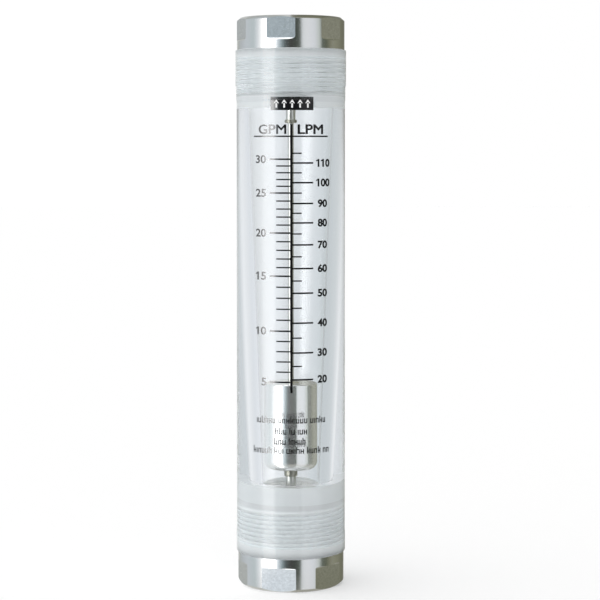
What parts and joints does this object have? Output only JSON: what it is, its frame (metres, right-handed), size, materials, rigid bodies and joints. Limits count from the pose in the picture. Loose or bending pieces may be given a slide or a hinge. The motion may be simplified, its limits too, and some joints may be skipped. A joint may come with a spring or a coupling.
{
  "type": "variable-area flow meter",
  "caption": "In-line flow meter: a steel float slides on a guide rod inside a clear tapered tube between two threaded pipe fittings.",
  "frame": {"origin": "on the meter's axis, at the outer face of the lower fitting, which the meter stands on", "axes": "+Z along the axis, up, in the direction of flow; -Y towards the viewer of the scale"},
  "size_m": [0.057, 0.057, 0.2944],
  "materials": {
    "clear_acrylic": "clear, polished, slightly cool",
    "stainless_turned": "fine turned stainless steel with milled wrench flats",
    "stainless_inner": "satin, bead-blasted stainless steel",
    "stainless_rod": "drawn stainless steel",
    "spring_steel": "satin stainless spring steel",
    "float_steel": "fine turned stainless steel",
    "seal_rubber": "matte grey rubber",
    "bush_polymer": "filled bearing polymer, satin"
  },
  "bodies": {
    "meter": {"metering_tube": "clear_acrylic", "lower_fitting": "stainless_turned", "upper_fitting": "stainless_turned", "lower_o_ring": "seal_rubber", "upper_o_ring": "seal_rubber", "lower_rod_support": "stainless_inner", "upper_rod_support": "stainless_inner", "lower_retaining_ring": "spring_steel", "upper_retaining_ring": "spring_steel", "guide_rod": "stainless_rod", "lower_rod_washer": "stainless_inner", "upper_rod_washer": "stainless_inner", "lower_rod_nut": "stainless_inner", "upper_rod_nut": "stainless_inner", "lower_stop_sleeve": "stainless_rod", "upper_stop_sleeve": "stainless_rod", "lower_stop_collar": "stainless_rod", "upper_stop_collar": "stainless_rod"},
    "float": {"float_body": "float_steel", "float_lower_bush": "bush_polymer", "float_upper_bush": "bush_polymer"}
  },
  "joints": [
    {"name": "float_slide", "type": "slide", "parent": "meter", "child": "float", "axis": [0, 0, 1], "range_m": [0, 0.13355]}
  ]
}
